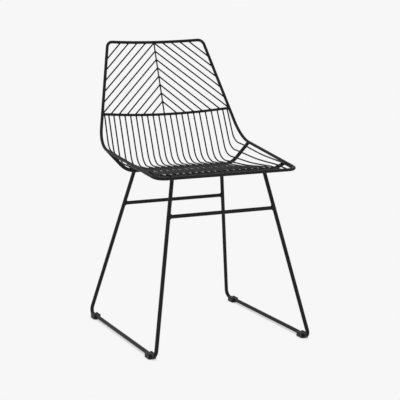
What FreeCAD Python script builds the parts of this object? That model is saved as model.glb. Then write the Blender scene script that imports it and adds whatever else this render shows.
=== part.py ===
import FreeCAD, Part
import math
import os

os.makedirs("parts", exist_ok=True)

# The chair faces -Y and is symmetric about X = 0. Z = 0 is the floor, and the origin is
# the middle of the chair's outline on the floor. Right is +X. Lengths are millimetres.

# Rod and wire diameters
rim_d = 8.5
leg_d = 10.5
seat_bar_d = 10.0
stretcher_d = 10.1
crossbar_d = 7.5
wire_d = 4.0

# A corner that turns less than this, in radians, is passed straight
straight_turn = 0.0005

# Clearance between two rods that are welded where they cross
weld_gap = 0.1

# Rim: half widths, depths and heights of the points where its straight runs would cross
rim_top = (148.2, 248.5, 784.7)
rim_hip = (218.8, 132.2, 504.4)
rim_front = (202.7, -230.3, 464.0)
top_corner_r = 19.0
hip_bend_r = 89.0
front_corner_r = 28.0

# Bow of the top run and of the crossbar at mid width, backwards and downwards, and the
# share of each run that curves
top_bow_back = 14.5
top_bow_down = 5.2
crossbar_bow_back = 21.0
crossbar_bow_down = 11.5
bow_share = 0.85

# Crossbar height where it meets the rim
crossbar_end_z = 589.4

# Bars under the seat: place, height of the flat middle, half width to its bend
rear_bar_y = 79.0
rear_bar_z = 438.9
rear_bar_flat = 160.7
front_bar_y = -158.0
front_bar_z = 457.0
front_bar_flat = 172.0
seat_bar_bend_r = 60.0

# Sled legs
foot_front = (225.0, -265.8)
foot_rear = (220.3, 225.9)
foot_bend_r = 16.0
leg_top_x = 134.0
leg_lap_rise = 2.5
front_stretcher_z = 357.0
rear_stretcher_z = 342.0

# Glides clipped on the runners
glide_base = 3.5
glide_wall = 4.8
glide_length = 27.0
glide_top_z = 14.0
glide_clear = 0.15
glide_mouth = 9.9
glide_front_y = -229.5
glide_rear_y = 183.0
glide_edge_r = 1.2

# Seat wires, counted outwards from the middle one: half widths at the crossbar and the
# front run, and at the rear bar, where the row is widest
even_wires = 9
end_pitch = 17.9
end_outer = (177.4, 190.6)
rear_pitch = 18.7
rear_outer = (184.0, 200.0)
wire_back_angle = 23.7
wire_hip_spread = 0.42
wire_end_play = 1.5

# Bends of a seat wire at the hip, over the rear bar and over the front bar, and the dish of
# the seat half way between the bars
wire_hip_r = 44.0
wire_kink_r = 150.0
wire_crest_r = 40.0
seat_dish = 4.5
seat_dish_r = 1000.0

# Chevron wires of the back, each side: how many end on each run, and how far the first and
# the last of them end from the ends of that run. The lowest on the rail ends at the crossbar.
spine_count = 8
spine_first = 38.0
spine_last = 1.9
top_count = 4
top_first = 24.2
top_last = 43.0
rail_count = 6
rail_last = 55.1
crossbar_count = 6
crossbar_first = 40.5
crossbar_last = 26.4

rim_r = rim_d / 2
leg_r = leg_d / 2
seat_bar_rad = seat_bar_d / 2
wire_r = wire_d / 2
runner_z = glide_base + leg_r


def vec(point):
    return FreeCAD.Vector(*point)


def mirrored(point):
    return FreeCAD.Vector(-point.x, point.y, point.z)


def along(start, end, share):
    """Point at a share of the way from start to end."""
    return start + (end - start) * share


def rod_path(points, radii):
    """Wire of straight runs through the points, each inner point rounded to its radius."""
    edges = []
    here = points[0]
    for index in range(1, len(points) - 1):
        corner = points[index]
        back = (points[index - 1] - corner).normalize()
        ahead = (points[index + 1] - corner).normalize()
        half_turn = (math.pi - back.getAngle(ahead)) / 2
        if half_turn < straight_turn:
            continue
        reach = radii[index - 1] * math.tan(half_turn)
        first = corner + back * reach
        last = corner + ahead * reach
        inward = (back + ahead).normalize()
        middle = corner + inward * (radii[index - 1] / math.cos(half_turn) - radii[index - 1])
        edges.append(Part.LineSegment(here, first).toShape())
        edges.append(Part.Arc(first, middle, last).toShape())
        here = last
    edges.append(Part.LineSegment(here, points[-1]).toShape())
    return Part.Wire(edges)


def rod(points, radii, diameter):
    """Round rod along the rounded path, closed by flat square-cut ends."""
    path = rod_path(points, radii)
    circle = Part.Circle(points[0], points[1] - points[0], diameter / 2).toShape()
    return path.makePipeShell([Part.Wire([circle])], True, False)


def straight_rod(start, end, diameter):
    run = end - start
    return Part.makeCylinder(diameter / 2, run.Length, start, run)


def mirror_shape(shape):
    return shape.mirror(FreeCAD.Vector(0, 0, 0), FreeCAD.Vector(1, 0, 0))


def save(name, shape):
    """Writes the piece as one solid. An offcut from a coped end is left out."""
    piece = max(shape.Solids, key=lambda solid: solid.Volume)
    piece.exportStep("parts/" + name + ".step")


# Rim: one bent rod, butt welded at the middle of its front run. It is drawn as a right
# half from the middle of the front run to the middle of the top run, then mirrored.
top = vec(rim_top)
hip = vec(rim_hip)
front = vec(rim_front)
front_middle = FreeCAD.Vector(0, front.y, front.z)


def bow(end, back, down):
    """Where the two straight tangents of a bowed run cross, and the radius of its arc."""
    deepen = 1 / (1 - bow_share / 2)
    tip = FreeCAD.Vector(0, end.y + back * deepen, end.z - down * deepen)
    run = end - tip
    slant = math.hypot(run.y, run.z) / end.x
    return tip, bow_share * run.Length / slant


def bow_point(end, tip, radius, x):
    """Point at half width x on the axis of a bowed run."""
    run = end - tip
    depth = math.hypot(run.y, run.z)
    slant = depth / end.x
    if abs(x) > bow_share * end.x:
        lift = abs(x) * slant
    else:
        lift = radius * math.hypot(1, slant) - math.sqrt(radius ** 2 - x ** 2)
    return FreeCAD.Vector(x, tip.y + run.y / depth * lift, tip.z + run.z / depth * lift)


top_tip, top_radius = bow(top, top_bow_back, top_bow_down)
rim_points = [front_middle, front, hip, top, top_tip, mirrored(top), mirrored(hip),
              mirrored(front), front_middle]
rim_radii = [front_corner_r, hip_bend_r, top_corner_r, top_radius, top_corner_r, hip_bend_r,
             front_corner_r]
rim = rod(rim_points, rim_radii, rim_d)
save("perimeter_frame", rim)


def rail_back(z):
    """Point on the axis of the right side run of the back at height z."""
    return along(hip, top, (z - hip.z) / (top.z - hip.z))


def rail_seat(y):
    """Point on the axis of the right side run of the seat at depth y."""
    return along(hip, front, (y - hip.y) / (front.y - hip.y))


# Crossbar between the back and the lumbar part, bowed like the top run
cross_end = rail_back(crossbar_end_z)
cross_tip, cross_radius = bow(cross_end, crossbar_bow_back, crossbar_bow_down)
crossbar_whole = rod([mirrored(cross_end), cross_tip, cross_end], [cross_radius], crossbar_d)
crossbar = crossbar_whole.cut(rim)
save("back_crossbar", crossbar)


def top_point(x):
    return bow_point(top, top_tip, top_radius, x)


def cross_point(x):
    return bow_point(cross_end, cross_tip, cross_radius, x)


# Seat bars: each dips from the side runs to a flat middle that the wires rest on
def seat_bar(y, z, flat):
    end = rail_seat(y)
    bend = FreeCAD.Vector(flat, y, z)
    points = [mirrored(end), mirrored(bend), bend, end]
    return rod(points, [seat_bar_bend_r, seat_bar_bend_r], seat_bar_d)


rear_bar = seat_bar(rear_bar_y, rear_bar_z, rear_bar_flat).cut(rim)
front_bar = seat_bar(front_bar_y, front_bar_z, front_bar_flat).cut(rim)
save("rear_seat_bar", rear_bar)
save("front_seat_bar", front_bar)


def rest_height(x, y, z, flat):
    """Height of a wire's axis at half width x where it rests on a seat bar."""
    end = rail_seat(y)
    lift = seat_bar_rad + wire_r + weld_gap
    rise = math.atan2(end.z - z, end.x - flat)
    arc_start = flat - seat_bar_bend_r * math.tan(rise / 2)
    inner = seat_bar_bend_r - lift
    arc_end = arc_start + inner * math.sin(rise)
    if x <= arc_start:
        return z + lift
    if x <= arc_end:
        return z + seat_bar_bend_r - math.sqrt(inner ** 2 - (x - arc_start) ** 2)
    return z + seat_bar_bend_r - inner * math.cos(rise) + (x - arc_end) * math.tan(rise)


# Sled legs: one rod a side, lapped on the outer faces of the two seat bars
def leg_top(foot, bar_y, bar_z, side):
    """Upper end of a leg, which runs from its foot past the face of its seat bar."""
    low = FreeCAD.Vector(foot[0], foot[1], runner_z)
    tilt = math.atan2(abs(bar_y - foot[1]), bar_z - runner_z)
    lap = (leg_r + seat_bar_rad + weld_gap) / math.cos(tilt)
    high = FreeCAD.Vector(leg_top_x, bar_y + side * lap, bar_z)
    return high + (high - low).normalize() * leg_lap_rise


front_low = FreeCAD.Vector(foot_front[0], foot_front[1], runner_z)
rear_low = FreeCAD.Vector(foot_rear[0], foot_rear[1], runner_z)
front_high = leg_top(foot_front, front_bar_y, front_bar_z, -1)
rear_high = leg_top(foot_rear, rear_bar_y, rear_bar_z, 1)
leg_points = [front_high, front_low, rear_low, rear_high]
right_leg = rod(leg_points, [foot_bend_r, foot_bend_r], leg_d)
left_leg = mirror_shape(right_leg)
save("right_sled_leg", right_leg)
save("left_sled_leg", left_leg)


# Stretchers between the legs, coped round them
def stretcher(low, high, z):
    end = along(low, high, (z - low.z) / (high.z - low.z))
    bar = straight_rod(mirrored(end), end, stretcher_d)
    return bar.cut(right_leg).cut(left_leg)


save("front_stretcher", stretcher(front_low, front_high, front_stretcher_z))
save("rear_stretcher", stretcher(rear_low, rear_high, rear_stretcher_z))

# Glides: plastic clips with a floor under the runner and two walls beside it. Their mouth is
# narrower than the runner, so that they snap on from below.
runner_direction = (rear_low - front_low).normalize()


def glide(y, side):
    """One glide, its length along the runner, centred on the runner at depth y."""
    middle = along(front_low, rear_low, (y - front_low.y) / (rear_low.y - front_low.y))
    half_width = leg_r + glide_clear + glide_wall
    box = Part.makeBox(2 * half_width, glide_length, glide_top_z)
    box.translate(FreeCAD.Vector(-half_width, -glide_length / 2, 0))
    long_edges = [e for e in box.Edges if abs(e.tangentAt(e.FirstParameter).y) > 0.9]
    box = box.makeFillet(glide_edge_r, long_edges)
    start = FreeCAD.Vector(0, -glide_length, runner_z)
    bore = Part.makeCylinder(leg_r + glide_clear, 2 * glide_length, start, FreeCAD.Vector(0, 1, 0))
    mouth = Part.makeBox(glide_mouth, 2 * glide_length, glide_top_z)
    mouth.translate(FreeCAD.Vector(-glide_mouth / 2, -glide_length, runner_z))
    clip = box.cut(bore).cut(mouth)
    angle = math.degrees(math.atan2(-runner_direction.x, runner_direction.y))
    clip.rotate(FreeCAD.Vector(0, 0, 0), FreeCAD.Vector(0, 0, 1), angle)
    clip.translate(FreeCAD.Vector(middle.x, middle.y, 0))
    return clip if side > 0 else mirror_shape(clip)


save("front_right_glide", glide(glide_front_y, 1))
save("front_left_glide", glide(glide_front_y, -1))
save("rear_right_glide", glide(glide_rear_y, 1))
save("rear_left_glide", glide(glide_rear_y, -1))

# Spine: a straight wire from the middle of the top run to the middle of the crossbar
spine_low = cross_point(0)
spine_high = top_point(0)
spine_whole = straight_rod(spine_low, spine_high, wire_d)
spine = spine_whole.cut(rim).cut(crossbar)
save("back_spine_wire", spine)
spine_length = (spine_high - spine_low).Length
rail_length = (top - cross_end).Length


# Chevron wires: each runs down and outwards, from the top run or the spine to the side
# run or the crossbar. Ends butt on what they meet.
def spaced(first, last, length, count):
    """Evenly spaced places along a run of this length, the farthest first."""
    pitch = (length - last - first) / (count - 1)
    return [first + pitch * index for index in reversed(range(count))]


upper_ends = [top_point(x) for x in spaced(top_first, top_last, top.x, top_count)]
for climb in spaced(spine_first, spine_last, spine_length, spine_count):
    upper_ends.append(along(spine_low, spine_high, climb / spine_length))
lower_ends = []
for climb in spaced(0, rail_last, rail_length, rail_count):
    lower_ends.append(along(cross_end, top, climb / rail_length))
for x in spaced(crossbar_first, crossbar_last, cross_end.x, crossbar_count):
    lower_ends.append(cross_point(x))

for index, (upper, lower) in enumerate(zip(upper_ends, lower_ends), start=1):
    wire = straight_rod(lower, upper, wire_d)
    for carrier in (rim, crossbar, spine):
        wire = wire.cut(carrier)
    label = str(index).zfill(2)
    save("chevron_wire_right_" + label, wire)
    save("chevron_wire_left_" + label, mirror_shape(wire))


# Seat wires: each hangs from the crossbar, bends forwards at the hip, rests on both seat
# bars with a shallow dip between them, and ends on the front run
def rim_front_point(x):
    """Point on the rim's axis at half width x, on the front run or its corner."""
    corner = abs(front.x - x)
    inset = front_corner_r - corner
    if inset <= 0:
        return FreeCAD.Vector(x, front.y, front.z)
    return FreeCAD.Vector(x, front.y + front_corner_r - math.sqrt(front_corner_r ** 2 - inset ** 2),
                          front.z)


def seat_wire_route(end_x, rear_x):
    """Corner points and bend radii of one seat wire."""
    upper = cross_point(end_x)
    end = rim_front_point(end_x)
    spread = (rear_x - end_x) / (rear_bar_y - end.y)
    fore_x = end_x + spread * (front_bar_y - end.y)
    rear_z = rest_height(rear_x, rear_bar_y, rear_bar_z, rear_bar_flat)
    fore_z = rest_height(fore_x, front_bar_y, front_bar_z, front_bar_flat)
    rear = FreeCAD.Vector(rear_x, rear_bar_y, rear_z)
    fore = FreeCAD.Vector(fore_x, front_bar_y, fore_z)
    dip = along(rear, fore, 0.5) - FreeCAD.Vector(0, 0, seat_dish)
    slope = (dip.z - rear_z) / (dip.y - rear_bar_y)
    lean = math.tan(math.radians(wire_back_angle))
    hip_y = (upper.y - lean * (upper.z - rear_z + slope * rear_bar_y)) / (1 - lean * slope)
    hip_z = rear_z + slope * (hip_y - rear_bar_y)
    hip_x = end_x + wire_hip_spread * (rear_x - end_x)
    hip_point = FreeCAD.Vector(hip_x, hip_y, hip_z)
    straight_z = fore_z + slope * (end.y - front_bar_y)
    end.z = min(max(straight_z, end.z - wire_end_play), end.z + wire_end_play)
    points = [upper, hip_point, rear, dip, fore, end]
    return points, [wire_hip_r, wire_kink_r, seat_dish_r, wire_crest_r]


end_places = [end_pitch * n for n in range(even_wires + 1)] + list(end_outer)
rear_places = [rear_pitch * n for n in range(even_wires + 1)] + list(rear_outer)
middle_number = len(end_places)
for step, (end_x, rear_x) in enumerate(zip(end_places, rear_places)):
    points, radii = seat_wire_route(end_x, rear_x)
    wire = rod(points, radii, wire_d)
    for carrier in (rim, crossbar):
        wire = wire.cut(carrier)
    save("seat_wire_" + str(middle_number + step).zfill(2), wire)
    if step:
        save("seat_wire_" + str(middle_number - step).zfill(2), mirror_shape(wire))
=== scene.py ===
import math

import bpy
import numpy as np
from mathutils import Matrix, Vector


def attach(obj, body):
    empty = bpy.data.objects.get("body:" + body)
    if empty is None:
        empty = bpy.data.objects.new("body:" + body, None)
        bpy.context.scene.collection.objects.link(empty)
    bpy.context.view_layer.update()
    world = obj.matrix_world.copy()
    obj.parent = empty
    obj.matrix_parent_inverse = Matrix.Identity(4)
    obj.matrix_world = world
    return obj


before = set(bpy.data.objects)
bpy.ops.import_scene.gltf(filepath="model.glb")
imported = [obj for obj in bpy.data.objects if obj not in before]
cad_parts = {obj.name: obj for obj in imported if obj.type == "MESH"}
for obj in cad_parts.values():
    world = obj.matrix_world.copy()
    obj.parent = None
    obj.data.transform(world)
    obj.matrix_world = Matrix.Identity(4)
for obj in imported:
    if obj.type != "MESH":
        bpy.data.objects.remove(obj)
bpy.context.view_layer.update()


# Camera: a three-quarter view from the chair's front left, from a little above its back. The
# lens is long, as in a catalogue picture, so the legs hardly converge.
camera_place = (-1.4058, -3.0479, 0.9661)
camera_turn = math.radians(25.14)
camera_dip = math.radians(10.26)
sensor_width = 36.0
frame_pixels = 400.0
focal_pixels = 1232.8

camera_data = bpy.data.cameras.new("camera")
camera_data.sensor_fit = "HORIZONTAL"
camera_data.sensor_width = sensor_width
camera_data.lens = focal_pixels / frame_pixels * sensor_width
camera_data.clip_end = 500.0
camera = bpy.data.objects.new("camera", camera_data)
camera.location = camera_place
camera.rotation_euler = (math.pi / 2 - camera_dip, 0.0, -camera_turn)
bpy.context.scene.collection.objects.link(camera)
bpy.context.scene.camera = camera
bpy.context.scene.view_settings.view_transform = "Standard"


# Studio: a seamless pale floor under a white dome, with one broad soft lamp on the left. The
# floor glows in the same pale grey as the backdrop, so the horizon doesn't show. Its glow
# fades within a finger's width of the chair, and leaves the faint contact shadows.
backdrop_colour = (0.930, 0.930, 0.930, 1.0)
floor_half = 60.0
floor_glow = 0.97
contact_reach = 0.008
contact_samples = 16
dome_strength = 0.92
lamp_strength = 0.30
lamp_spread = math.radians(50.0)
lamp_source = Vector((-0.70, -0.30, 0.62))


def add_node(tree, kind, **settings):
    """Adds a shader node and sets its properties and, by name, its sockets."""
    node = tree.nodes.new(kind)
    for name, value in settings.items():
        if hasattr(node, name):
            setattr(node, name, value)
        else:
            node.inputs[name.replace("_", " ")].default_value = value
    return node


floor_mesh = bpy.data.meshes.new("studio_floor")
floor_corners = [(-floor_half, -floor_half, 0), (floor_half, -floor_half, 0),
                 (floor_half, floor_half, 0), (-floor_half, floor_half, 0)]
floor_mesh.from_pydata(floor_corners, [], [(0, 1, 2, 3)])
studio_floor = bpy.data.objects.new("studio_floor", floor_mesh)
bpy.context.scene.collection.objects.link(studio_floor)

floor_paint = bpy.data.materials.new("studio_floor")
floor_paint.use_nodes = True
tree = floor_paint.node_tree
tree.nodes.clear()


def seen_rays(tree):
    """Socket that is 1 for the rays that show the backdrop: camera, glossy and transmission."""
    path = add_node(tree, "ShaderNodeLightPath")
    either = add_node(tree, "ShaderNodeMath", operation="MAXIMUM")
    any_of = add_node(tree, "ShaderNodeMath", operation="MAXIMUM")
    tree.links.new(path.outputs["Is Camera Ray"], either.inputs[0])
    tree.links.new(path.outputs["Is Glossy Ray"], either.inputs[1])
    tree.links.new(either.outputs[0], any_of.inputs[0])
    tree.links.new(path.outputs["Is Transmission Ray"], any_of.inputs[1])
    return any_of.outputs[0]


painted = add_node(tree, "ShaderNodeBsdfDiffuse", Color=backdrop_colour)
glowing = add_node(tree, "ShaderNodeEmission", Color=backdrop_colour, Strength=1.0)
contact = add_node(tree, "ShaderNodeAmbientOcclusion", samples=contact_samples,
                   Distance=contact_reach)
open_share = add_node(tree, "ShaderNodeMath", operation="MULTIPLY")
open_share.inputs[1].default_value = floor_glow
share = add_node(tree, "ShaderNodeMath", operation="MULTIPLY")
mix = add_node(tree, "ShaderNodeMixShader")
output = add_node(tree, "ShaderNodeOutputMaterial")
tree.links.new(contact.outputs["AO"], open_share.inputs[0])
tree.links.new(open_share.outputs[0], share.inputs[0])
tree.links.new(seen_rays(tree), share.inputs[1])
tree.links.new(share.outputs[0], mix.inputs[0])
tree.links.new(painted.outputs[0], mix.inputs[1])
tree.links.new(glowing.outputs[0], mix.inputs[2])
tree.links.new(mix.outputs[0], output.inputs["Surface"])
floor_mesh.materials.append(floor_paint)

world = bpy.data.worlds.new("studio")
bpy.context.scene.world = world
world.use_nodes = True
tree = world.node_tree
tree.nodes.clear()
dome = add_node(tree, "ShaderNodeBackground", Color=(1, 1, 1, 1), Strength=dome_strength)
seen = add_node(tree, "ShaderNodeBackground", Color=backdrop_colour, Strength=1.0)
mix = add_node(tree, "ShaderNodeMixShader")
output = add_node(tree, "ShaderNodeOutputWorld")
tree.links.new(seen_rays(tree), mix.inputs[0])
tree.links.new(dome.outputs[0], mix.inputs[1])
tree.links.new(seen.outputs[0], mix.inputs[2])
tree.links.new(mix.outputs[0], output.inputs["Surface"])

lamp_data = bpy.data.lights.new("key_lamp", "SUN")
lamp_data.energy = lamp_strength
lamp_data.angle = lamp_spread
key_lamp = bpy.data.objects.new("key_lamp", lamp_data)
key_lamp.rotation_euler = lamp_source.to_track_quat("Z", "Y").to_euler()
bpy.context.scene.collection.objects.link(key_lamp)


# Rods and wires: cold-drawn steel, welded, then powder coated in one go in a black satin.
# The coat is fine-grained, and drifts a little in tone and gloss along each rod.
rod_tones = ((0.0100, 0.0100, 0.0103, 1.0), (0.0135, 0.0135, 0.0138, 1.0))
# The wires get a darker copy of the same coat. The extra darkness is painted shade, so the
# close-set wires look darker than the rods under the same light.
wire_tones_with_painted_shade = ((0.0031, 0.0031, 0.0034, 1.0), (0.0055, 0.0055, 0.0058, 1.0))
rod_peel_scale, rod_peel_strength = 900.0, 0.14
wire_peel_scale, wire_peel_strength = 1400.0, 0.12
peel_height = 0.0002
drift_scale = 14.0
tone_stops = (0.35, 0.75)
gloss_stops = (0.3, 0.7)
coat_roughness = (0.36, 0.46)
coat_ior = 1.2


def bump_from(tree, pattern, strength, height):
    """Lets this pattern's value lift the surface by at most this height."""
    lift = add_node(tree, "ShaderNodeBump", Strength=strength, Distance=height)
    tree.links.new(pattern.outputs["Fac"], lift.inputs["Height"])
    tree.links.new(lift.outputs["Normal"], tree.nodes["Principled BSDF"].inputs["Normal"])


def powder_coat(name, tones, peel_scale, peel_strength):
    """Satin black powder coat: fine orange-peel bump, tone and gloss that drift slowly."""
    material = bpy.data.materials.new(name)
    material.use_nodes = True
    tree = material.node_tree
    shader = tree.nodes["Principled BSDF"]
    place = add_node(tree, "ShaderNodeTexCoord")
    drift = add_node(tree, "ShaderNodeTexNoise", Scale=drift_scale, Detail=3.0)
    peel = add_node(tree, "ShaderNodeTexNoise", Scale=peel_scale, Detail=2.0)
    tree.links.new(place.outputs["Object"], drift.inputs["Vector"])
    tree.links.new(place.outputs["Object"], peel.inputs["Vector"])
    colour = add_node(tree, "ShaderNodeValToRGB")
    for element, stop, tone in zip(colour.color_ramp.elements, tone_stops, tones):
        element.position = stop
        element.color = tone
    tree.links.new(drift.outputs["Fac"], colour.inputs["Fac"])
    tree.links.new(colour.outputs["Color"], shader.inputs["Base Color"])
    gloss = add_node(tree, "ShaderNodeMapRange", From_Min=gloss_stops[0],
                     From_Max=gloss_stops[1], To_Min=coat_roughness[0],
                     To_Max=coat_roughness[1])
    tree.links.new(drift.outputs["Fac"], gloss.inputs["Value"])
    tree.links.new(gloss.outputs["Result"], shader.inputs["Roughness"])
    bump_from(tree, peel, peel_strength, peel_height)
    shader.inputs["IOR"].default_value = coat_ior
    return material


rod_coat = powder_coat("rod_powder_coat", rod_tones, rod_peel_scale, rod_peel_strength)
# The wire coat is the darker copy, and its colour holds painted shade.
wire_coat_with_painted_shade = powder_coat("wire_powder_coat_with_painted_shade", wire_tones_with_painted_shade, wire_peel_scale, wire_peel_strength)
for name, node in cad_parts.items():
    if not name.endswith("glide"):
        node.material_slots[0].material = wire_coat_with_painted_shade if "wire" in name else rod_coat


# Glides: clips of moulded dark plastic, pushed over the runners from below. The moulding
# is matt with a fine spark texture, and its sole is scuffed by the floor.
glide_grey = (0.011, 0.011, 0.0117, 1.0)
glide_scuffed = (0.029, 0.029, 0.030, 1.0)
spark_scale, spark_strength, spark_height = 1800.0, 0.3, 0.0001
scuff_scale = 160.0
scuff_top = 0.004
glide_ior = 1.3
glide_roughness = 0.55

glide_plastic = bpy.data.materials.new("glide_plastic")
glide_plastic.use_nodes = True
tree = glide_plastic.node_tree
shader = tree.nodes["Principled BSDF"]
place = add_node(tree, "ShaderNodeTexCoord")
spark = add_node(tree, "ShaderNodeTexNoise", Scale=spark_scale, Detail=2.0)
scuff = add_node(tree, "ShaderNodeTexNoise", Scale=scuff_scale, Detail=6.0)
tree.links.new(place.outputs["Object"], spark.inputs["Vector"])
tree.links.new(place.outputs["Object"], scuff.inputs["Vector"])
parts = add_node(tree, "ShaderNodeSeparateXYZ")
tree.links.new(place.outputs["Object"], parts.inputs[0])
low = add_node(tree, "ShaderNodeMapRange", From_Min=0.0, From_Max=scuff_top, To_Min=1.0,
               To_Max=0.0)
tree.links.new(parts.outputs["Z"], low.inputs["Value"])
worn = add_node(tree, "ShaderNodeMath", operation="MULTIPLY")
tree.links.new(low.outputs["Result"], worn.inputs[0])
tree.links.new(scuff.outputs["Fac"], worn.inputs[1])
colour = add_node(tree, "ShaderNodeMix", data_type="RGBA")
colour.inputs["A"].default_value = glide_grey
colour.inputs["B"].default_value = glide_scuffed
tree.links.new(worn.outputs[0], colour.inputs["Factor"])
tree.links.new(colour.outputs["Result"], shader.inputs["Base Color"])
shader.inputs["IOR"].default_value = glide_ior
shader.inputs["Roughness"].default_value = glide_roughness
bump_from(tree, spark, spark_strength, spark_height)
for name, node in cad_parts.items():
    if name.endswith("glide"):
        node.material_slots[0].material = glide_plastic


# Stretcher welds: a rippled bead of weld runs round each end of the two stretchers, where
# the saddle-cut rod meets the leg. It was coated together with the rods.
leg_radius = 0.00525
stretcher_radius = 0.00505
seat_bar_radius = 0.005
weld_gap = 0.0001
runner_height = 0.00875
foot_front = np.array([0.225, -0.2658, runner_height])
foot_rear = np.array([0.2203, 0.2259, runner_height])
front_bar = np.array([0.134, -0.158, 0.457])
rear_bar = np.array([0.134, 0.079, 0.4389])
stretcher_heights = (0.357, 0.342)
bead_sides = 8
bead_width_share = 0.93
ripple_steps = 6
rod_bead, rod_bead_steps, rod_ripple = 0.0026, 96, 0.08
inward = np.array([-1.0, 0.0, 0.0])


def direction(vectors):
    """Unit vectors along the last axis."""
    return vectors / np.linalg.norm(vectors, axis=-1, keepdims=True)


def joint(place, way, carrier, carrier_way):
    """One welded end: a point and the unit direction of its own axis, which leads away from
    the carrier, and a point and the unit direction of the carrier's axis."""
    return np.stack([place, direction(way), carrier, direction(carrier_way)])


def both_sides(joints):
    """The joints of the right side and their mirror images across X = 0."""
    joints = np.array(joints)
    return np.concatenate([joints, joints * np.array([-1.0, 1.0, 1.0])])


def weld_beads(name, joints, end_radius, carrier_radius, bead, around, ripple=0.0):
    """One closed bead round each joint. A bead is a bent torus over an angle u round the end's
    axis and an angle v round the bead: distance from that axis = end radius + bead x cos v,
    but across the carrier it stays within the carrier's width. Height along the axis =
    height of the carrier's surface there + bead x sin v. The surface height is the larger
    root of the quadratic that puts a point at the carrier's radius. Ripples: bead radius =
    mean radius x (1 + ripple x sine of whole turns of u)."""
    place, way, carrier, run = [joints[:, k, None, None, :] for k in range(4)]
    u = np.linspace(0.0, 2 * np.pi, around, endpoint=False)[None, :, None, None]
    v = np.linspace(0.0, 2 * np.pi, bead_sides, endpoint=False)[None, None, :, None]
    side = direction(run - (run * way).sum(-1, keepdims=True) * way)
    other = np.cross(way, side)
    thick = bead * (1.0 + ripple * np.sin(u * (around // ripple_steps)))
    reach = end_radius + thick * np.cos(v)
    breadth = np.minimum(reach, bead_width_share * carrier_radius)
    offset = place - carrier + reach * np.cos(u) * side + breadth * np.sin(u) * other
    lean = (way * run).sum(-1, keepdims=True)
    slide = (offset * run).sum(-1, keepdims=True)
    square = 1.0 - lean ** 2
    half = (offset * way).sum(-1, keepdims=True) - slide * lean
    rest = (offset ** 2).sum(-1, keepdims=True) - slide ** 2 - carrier_radius ** 2
    height = (np.sqrt(np.maximum(half ** 2 - square * rest, 0.0)) - half) / square
    points = carrier + offset + (height + thick * np.sin(v)) * way
    grid = np.arange(len(joints) * around * bead_sides)
    grid = grid.reshape(len(joints), around, bead_sides)
    ahead = np.roll(grid, -1, axis=1)
    faces = np.stack([grid, ahead, np.roll(ahead, -1, axis=2), np.roll(grid, -1, axis=2)], -1)
    mesh = bpy.data.meshes.new(name)
    mesh.from_pydata(points.reshape(-1, 3).tolist(), [], faces.reshape(-1, 4).tolist())
    mesh.shade_smooth()
    mesh.materials.append(rod_coat)
    piece = bpy.data.objects.new(name, mesh)
    bpy.context.scene.collection.objects.link(piece)
    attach(piece, "root")


def leg_line(foot, bar, side):
    """Direction of a leg's upright, which laps the outer face of its seat bar."""
    tilt = math.atan2(abs(bar[1] - foot[1]), bar[2] - foot[2])
    lap = (leg_radius + seat_bar_radius + weld_gap) / math.cos(tilt)
    return direction(bar + np.array([0.0, side * lap, 0.0]) - foot)


front_leg_way = leg_line(foot_front, front_bar, -1.0)
rear_leg_way = leg_line(foot_rear, rear_bar, 1.0)
ends = []
for foot, way, height in ((foot_front, front_leg_way, stretcher_heights[0]),
                          (foot_rear, rear_leg_way, stretcher_heights[1])):
    place = foot + way * (height - foot[2]) / way[2]
    ends.append(joint(place, inward, place, way))
weld_beads("stretcher_welds", both_sides(ends), stretcher_radius, leg_radius, rod_bead,
           rod_bead_steps, rod_ripple)


# Leg lap welds: each leg's top lies against the outer face of a seat bar, and a round weld
# between the two rods fills the crevice.
lap_ring = 0.0032
lap_bead, lap_bead_steps, lap_ripple = 0.0014, 60, 0.06
laps = []
for bar, way, side in ((front_bar, front_leg_way, -1.0), (rear_bar, rear_leg_way, 1.0)):
    normal = np.cross(way, inward)
    normal = normal * side * np.sign(normal[1])
    laps.append(joint(bar, normal, bar, inward))
weld_beads("leg_lap_welds", both_sides(laps), lap_ring, seat_bar_radius, lap_bead,
           lap_bead_steps, lap_ripple)


# Seat bar and crossbar welds: the ends of the two bent bars under the seat and of the bar
# across the back are saddle-cut round the rim and welded all round.
rim_radius = 0.00425
crossbar_radius = 0.00375
rim_top = np.array([0.1482, 0.2485, 0.7847])
rim_hip = np.array([0.2188, 0.1322, 0.5044])
rim_front = np.array([0.2027, -0.2303, 0.464])
front_corner_radius = 0.028
crossbar_end_height = 0.5894
top_bow_back, top_bow_down = 0.0145, 0.0052
cross_bow_back, cross_bow_down = 0.021, 0.0115
bow_share = 0.85
front_bar_flat = 0.172
rear_bar_flat = 0.1607
cross_bead, cross_bead_steps, cross_ripple = 0.0018, 72, 0.08
first_step = 0.01


def rail_at(depth):
    """Point on the axis of the right side run of the seat at this depth."""
    return rim_hip + (rim_front - rim_hip) * (depth - rim_hip[1]) / (rim_front[1] - rim_hip[1])


bar_ends = []
for bar, flat in ((front_bar, front_bar_flat), (rear_bar, rear_bar_flat)):
    place = rail_at(bar[1])
    bend = np.array([flat, bar[1], bar[2]])
    bar_ends.append(joint(place, bend - place, place, rim_front - rim_hip))
weld_beads("seat_bar_welds", both_sides(bar_ends), seat_bar_radius, rim_radius, rod_bead,
           rod_bead_steps, rod_ripple)


def bowed_line(end, back, down):
    """Axis of a bowed run as a function of the half width x. Two straight tangents meet at a
    tip on the centre plane, and an arc over the bow's share of the run rounds them: lift from
    the tip = arc centre's height - root of (radius squared - x squared)."""
    deepen = 1.0 / (1.0 - bow_share / 2.0)
    tip = np.array([0.0, end[1] + back * deepen, end[2] - down * deepen])
    run = end - tip
    depth = math.hypot(run[1], run[2])
    slant = depth / end[0]
    radius = bow_share * np.linalg.norm(run) / slant

    def at(x):
        x = np.asarray(x, float)
        curved = radius * math.hypot(1.0, slant) - np.sqrt(np.maximum(radius ** 2 - x ** 2, 0))
        lift = np.where(np.abs(x) > bow_share * end[0], np.abs(x) * slant, curved)
        return np.stack([x, tip[1] + run[1] / depth * lift, tip[2] + run[2] / depth * lift], -1)

    return at


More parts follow.
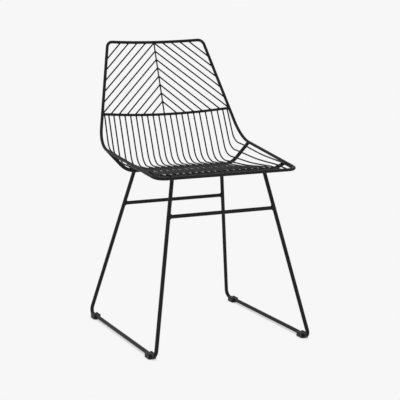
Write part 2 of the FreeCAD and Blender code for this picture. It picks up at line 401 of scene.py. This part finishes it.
back_rail_way = direction(rim_top - rim_hip)
cross_end = rim_hip + back_rail_way * (crossbar_end_height - rim_hip[2]) / back_rail_way[2]
top_line = bowed_line(rim_top, top_bow_back, top_bow_down)
cross_line = bowed_line(cross_end, cross_bow_back, cross_bow_down)
cross_way = cross_line(cross_end[0] - first_step) - cross_end
cross_joint = joint(cross_end, cross_way, cross_end, back_rail_way)
weld_beads("crossbar_welds", both_sides([cross_joint]), crossbar_radius, rim_radius,
           cross_bead, cross_bead_steps, cross_ripple)


# Back wire welds: small smooth beads where the spine and the chevron wires butt on the top
# run, the spine, the side runs and the crossbar.
wire_radius = 0.002
wire_bead = 0.0009
spine_bead = 0.0006
wire_bead_steps = 20
probe = 0.001
top_first, top_last, top_count = 0.0242, 0.043, 4
spine_first, spine_last, spine_count = 0.038, 0.0019, 8
rail_last, rail_count = 0.0551, 6
cross_first, cross_last, cross_count = 0.0405, 0.0264, 6


def evenly(first, last, length, count):
    """Evenly spaced places along a run of this length, the farthest first."""
    return np.linspace(first, length - last, count)[::-1]


def tangent(line, x):
    """Unit direction of a bowed line at x, from two points a probe's width either side."""
    return direction(line(x + probe) - line(x - probe))


spine_low, spine_high = cross_line(0.0), top_line(0.0)
spine_way = direction(spine_high - spine_low)
spine_length = np.linalg.norm(spine_high - spine_low)
rail_length = np.linalg.norm(rim_top - cross_end)
top_x = evenly(top_first, top_last, rim_top[0], top_count)
spine_climb = evenly(spine_first, spine_last, spine_length, spine_count)
rail_climb = evenly(0.0, rail_last, rail_length, rail_count)
cross_x = evenly(cross_first, cross_last, cross_end[0], cross_count)
on_the_spine = spine_low + spine_climb[:, None] * spine_way
on_the_rail = cross_end + rail_climb[:, None] * back_rail_way
uppers = np.concatenate([top_line(top_x), on_the_spine])
lowers = np.concatenate([on_the_rail, cross_line(cross_x)])
falls = direction(lowers - uppers)
carriers_above = np.concatenate([tangent(top_line, top_x), np.tile(spine_way, (spine_count, 1))])
carriers_below = np.concatenate([np.tile(back_rail_way, (rail_count, 1)),
                                 tangent(cross_line, cross_x)])
heads = np.stack([uppers, falls, uppers, carriers_above], 1)
feet = np.stack([lowers, -falls, lowers, carriers_below], 1)
spine_top = joint(spine_high, -spine_way, spine_high, inward)
spine_foot = joint(spine_low, spine_way, spine_low, inward)
on_top = np.concatenate([both_sides(heads[:top_count]), spine_top[None]])
on_spine = both_sides(heads[top_count:])
on_rail = both_sides(feet[:rail_count])
on_cross = np.concatenate([both_sides(feet[rail_count:]), spine_foot[None]])
for name, joints, carrier_radius, bead in (
        ("top_run_wire_welds", on_top, rim_radius, wire_bead),
        ("spine_wire_welds", on_spine, wire_radius, spine_bead),
        ("side_run_wire_welds", on_rail, rim_radius, wire_bead),
        ("crossbar_wire_welds", on_cross, crossbar_radius, wire_bead)):
    weld_beads(name, joints, wire_radius, carrier_radius, bead, wire_bead_steps)


# Seat wire welds: each seat wire butts on the crossbar from below and on the front run from
# behind, with a small bead at each end. Over the bars it is spot welded from above.
even_wires = np.arange(10)
end_pitch, end_outer = 0.0179, (0.1774, 0.1906)
rear_pitch, rear_outer = 0.0187, (0.184, 0.2)
seat_end_x = np.append(even_wires * end_pitch, end_outer)
seat_rear_x = np.append(even_wires * rear_pitch, rear_outer)
middle_number = 12
end_clearance = 0.015
ring_depth = 0.0015
front_end_reach = 0.012
bar_bend_radius = 0.060
spot_ring, spot_bead, spot_bead_steps = 0.0011, 0.0006, 16


def wire_corners(step):
    """The vertices of the seat wire that lies this many wires right of the middle one."""
    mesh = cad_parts["seat_wire_" + str(middle_number + step).zfill(2)].data
    corners = np.empty(3 * len(mesh.vertices), np.float32)
    mesh.vertices.foreach_get("co", corners)
    return np.unique(np.round(corners.reshape(-1, 3).astype(float), 6), axis=0)


def next_ring(corners, place):
    """Middle of the wire's first ring of vertices past its end at this place."""
    far = np.linalg.norm(corners - place, axis=1)
    past = far > end_clearance
    return corners[past & (far < far[past].min() + ring_depth)].mean(axis=0)


hung, butted = [], []
for step, x in enumerate(seat_end_x):
    corners = wire_corners(step)
    place = cross_line(x)
    hung.append(joint(place, next_ring(corners, place) - place, place, tangent(cross_line, x)))
    inset = max(front_corner_radius - (rim_front[0] - x), 0.0)
    forward = math.sqrt(front_corner_radius ** 2 - inset ** 2)
    rim_place = np.array([x, rim_front[1] + front_corner_radius - forward, rim_front[2]])
    run = np.array([forward, inset, 0.0])
    near = corners[np.linalg.norm(corners - rim_place, axis=1) < front_end_reach]
    place = np.array([x, rim_place[1], (near[:, 2].min() + near[:, 2].max()) / 2])
    butted.append(joint(place, next_ring(corners, place) - place, rim_place, run))
hung = np.concatenate([both_sides(hung[1:]), np.array(hung[:1])])
butted = np.concatenate([both_sides(butted[1:]), np.array(butted[:1])])
weld_beads("seat_wire_top_welds", hung, wire_radius, crossbar_radius, wire_bead,
           wire_bead_steps)
weld_beads("seat_wire_front_welds", butted, wire_radius, rim_radius, wire_bead,
           wire_bead_steps)


def bar_line(x, bar, flat):
    """Axis point and upward normal of a seat bar at half width x: flat in the middle, an arc
    of the bend radius, then a straight rise to the rail."""
    end = rail_at(bar[1])
    rise = math.atan2(end[2] - bar[2], end[0] - flat)
    start = flat - bar_bend_radius * math.tan(rise / 2)
    turn = np.arcsin(np.clip((x - start) / bar_bend_radius, 0.0, math.sin(rise)))
    arc_x = start + bar_bend_radius * np.sin(turn)
    lift = bar_bend_radius * (1 - np.cos(turn)) + np.maximum(x - arc_x, 0) * math.tan(rise)
    points = np.stack([x, np.full_like(x, bar[1]), bar[2] + lift], -1)
    return points, np.stack([-np.sin(turn), np.zeros_like(x), np.cos(turn)], -1)


spots = []
fore_share = (front_bar[1] - rim_front[1]) / (rear_bar[1] - rim_front[1])
seat_fore_x = seat_end_x + (seat_rear_x - seat_end_x) * fore_share
for x, bar, flat in ((seat_fore_x, front_bar, front_bar_flat),
                     (seat_rear_x, rear_bar, rear_bar_flat)):
    lean = bar_line(x, bar, flat)[1][:, 0]
    points, normals = bar_line(x - lean * (seat_bar_radius + wire_radius), bar, flat)
    across = np.stack([normals[:, 2], normals[:, 1], -normals[:, 0]], -1)
    crossings = np.stack([points, normals, points, across], 1)
    spots += [both_sides(crossings[1:]), crossings[:1]]
weld_beads("seat_wire_spot_welds", np.concatenate(spots), spot_ring, seat_bar_radius, spot_bead,
           spot_bead_steps)
